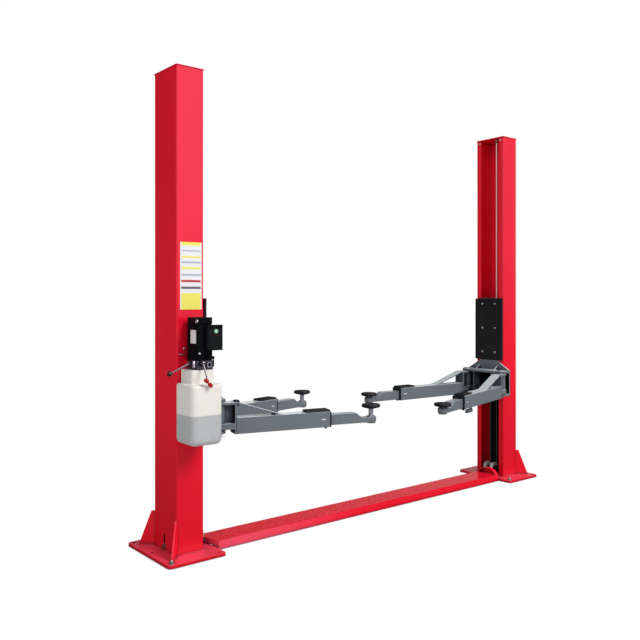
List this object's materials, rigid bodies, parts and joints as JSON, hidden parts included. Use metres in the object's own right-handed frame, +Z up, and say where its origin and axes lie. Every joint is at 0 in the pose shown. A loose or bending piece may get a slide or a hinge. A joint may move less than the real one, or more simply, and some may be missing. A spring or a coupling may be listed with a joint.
{
  "type": "two post car lift",
  "caption": "Two post car lift with a floor cover between its posts, hydraulic power unit on one post, sliding carriages and telescopic swing arms with screw pads.",
  "frame": {"origin": "on the floor, midway between the two posts", "axes": "+X from the post with the power unit to the other post, +Y to the rear of the bay, +Z up"},
  "size_m": [3.406, 1.0016, 2.826],
  "materials": {
    "red_paint": "gloss powder coat",
    "grey_paint": "satin powder coat",
    "black_paint": "satin",
    "bright_steel": "zinc plated",
    "rope_steel": "stranded, lightly greased",
    "black_plastic": "matte",
    "tank_plastic": "translucent, blow moulded",
    "red_plastic": "gloss",
    "black_rubber": "matte"
  },
  "bodies": {
    "frame": {"column_left": "red_paint", "column_right": "red_paint", "column_caps": "red_paint", "base_plate_left": "red_paint", "base_plate_right": "red_paint", "base_gussets": "red_paint", "floor_cover": "red_paint", "sheave_hood": "red_paint", "rope_sheaves": "bright_steel", "sheave_brackets": "red_paint", "equalising_ropes": "rope_steel", "rope_anchors": "bright_steel", "lift_cylinders": "black_paint", "oil_tank": "tank_plastic", "pump_block": "bright_steel", "motor": "black_paint", "control_box": "black_plastic", "pump_bracket": "red_paint"},
    "lowering_handle": {"lowering_lever": "bright_steel", "lever_knob": "black_plastic"},
    "release_handle": {"release_lever": "bright_steel", "lever_grips": "red_plastic"},
    "carriage_body_left": {"carriage_left": "black_paint", "slide_blocks_left": "black_plastic", "guard_left": "black_rubber", "arm_seat_left": "grey_paint", "arm_pins_left": "bright_steel"},
    "rod_left": {"lift_rod_left": "bright_steel"},
    "carriage_body_right": {"carriage_right": "black_paint", "slide_blocks_right": "black_plastic", "guard_right": "black_rubber", "arm_seat_right": "grey_paint", "arm_pins_right": "bright_steel"},
    "rod_right": {"lift_rod_right": "bright_steel"},
    "arm_left_front": {"outer_arm_left_front": "grey_paint", "arm_strip_left_front": "black_rubber"},
    "extension_left_front": {"inner_arm_left_front": "grey_paint"},
    "screw_pad_left_front": {"pad_screw_left_front": "bright_steel", "pad_left_front": "black_rubber"},
    "arm_left_rear": {"outer_arm_left_rear": "grey_paint", "arm_strip_left_rear": "black_rubber"},
    "extension_left_rear": {"inner_arm_left_rear": "grey_paint"},
    "screw_pad_left_rear": {"pad_screw_left_rear": "bright_steel", "pad_left_rear": "black_rubber"},
    "arm_right_front": {"outer_arm_right_front": "grey_paint", "arm_strip_right_front": "black_rubber"},
    "extension_right_front": {"inner_arm_right_front": "grey_paint"},
    "screw_pad_right_front": {"pad_screw_right_front": "bright_steel", "pad_right_front": "black_rubber"},
    "arm_right_rear": {"outer_arm_right_rear": "grey_paint", "arm_strip_right_rear": "black_rubber"},
    "extension_right_rear": {"inner_arm_right_rear": "grey_paint"},
    "screw_pad_right_rear": {"pad_screw_right_rear": "bright_steel", "pad_right_rear": "black_rubber"}
  },
  "joints": [
    {"name": "lift", "type": "slide", "parent": "frame", "child": "carriage_body_left", "axis": [0, 0, 1], "range_m": [-0.56, 1.08]},
    {"name": "lift_right", "type": "slide", "parent": "frame", "child": "carriage_body_right", "axis": [0, 0, 1], "range_m": [-0.56, 1.08]},
    {"name": "rod_stroke_left", "type": "slide", "parent": "frame", "child": "rod_left", "axis": [0, 0, 1], "range_m": [-0.28, 0.54]},
    {"name": "rod_stroke_right", "type": "slide", "parent": "frame", "child": "rod_right", "axis": [0, 0, 1], "range_m": [-0.28, 0.54]},
    {"name": "swing_left_front", "type": "hinge", "parent": "carriage_body_left", "child": "arm_left_front", "pos_m": [-1.33, -0.172, 0.694], "axis": [0, 0, -1], "range_deg": [-15, 75]},
    {"name": "extend_left_front", "type": "slide", "parent": "arm_left_front", "child": "extension_left_front", "axis": [0.9659, -0.2588, 0], "range_m": [-0.15, 0.23]},
    {"name": "screw_left_front", "type": "slide", "parent": "extension_left_front", "child": "screw_pad_left_front", "axis": [0, 0, 1], "range_m": [-0.044, 0.026]},
    {"name": "swing_left_rear", "type": "hinge", "parent": "carriage_body_left", "child": "arm_left_rear", "pos_m": [-1.33, 0.172, 0.694], "axis": [0, 0, 1], "range_deg": [-12, 78]},
    {"name": "extend_left_rear", "type": "slide", "parent": "arm_left_rear", "child": "extension_left_rear", "axis": [0.9781, 0.2079, 0], "range_m": [-0.15, 0.23]},
    {"name": "screw_left_rear", "type": "slide", "parent": "extension_left_rear", "child": "screw_pad_left_rear", "axis": [0, 0, 1], "range_m": [-0.044, 0.026]},
    {"name": "swing_right_front", "type": "hinge", "parent": "carriage_body_right", "child": "arm_right_front", "pos_m": [1.33, -0.172, 0.694], "axis": [0, 0, 1], "range_deg": [-16.5, 73.5]},
    {"name": "extend_right_front", "type": "slide", "parent": "arm_right_front", "child": "extension_right_front", "axis": [-0.9588, -0.284, 0], "range_m": [-0.15, 0.23]},
    {"name": "screw_right_front", "type": "slide", "parent": "extension_right_front", "child": "screw_pad_right_front", "axis": [0, 0, 1], "range_m": [0, 0.026]},
    {"name": "swing_right_rear", "type": "hinge", "parent": "carriage_body_right", "child": "arm_right_rear", "pos_m": [1.33, 0.172, 0.694], "axis": [0, 0, -1], "range_deg": [-4, 86]},
    {"name": "extend_right_rear", "type": "slide", "parent": "arm_right_rear", "child": "extension_right_rear", "axis": [-0.9976, 0.0698, 0], "range_m": [-0.15, 0.23]},
    {"name": "screw_right_rear", "type": "slide", "parent": "extension_right_rear", "child": "screw_pad_right_rear", "axis": [0, 0, 1], "range_m": [0, 0.026]},
    {"name": "lower", "type": "hinge", "parent": "frame", "child": "lowering_handle", "pos_m": [-1.551, -0.2225, 1.12], "axis": [0, 1, 0], "range_deg": [0, 20], "stiffness_Nm_per_rad": 3, "springref_deg": -20.05},
    {"name": "release", "type": "hinge", "parent": "frame", "child": "release_handle", "pos_m": [-1.507, -0.2915, 1.124], "axis": [-1, 0, 0], "range_deg": [0, 20], "stiffness_Nm_per_rad": 3, "springref_deg": -20.05}
  ],
  "couplings": [
    {"joint": "lift_right", "follows": "lift", "ratio": 1},
    {"joint": "rod_stroke_left", "follows": "lift", "ratio": 0.5},
    {"joint": "rod_stroke_right", "follows": "lift", "ratio": 0.5}
  ]
}
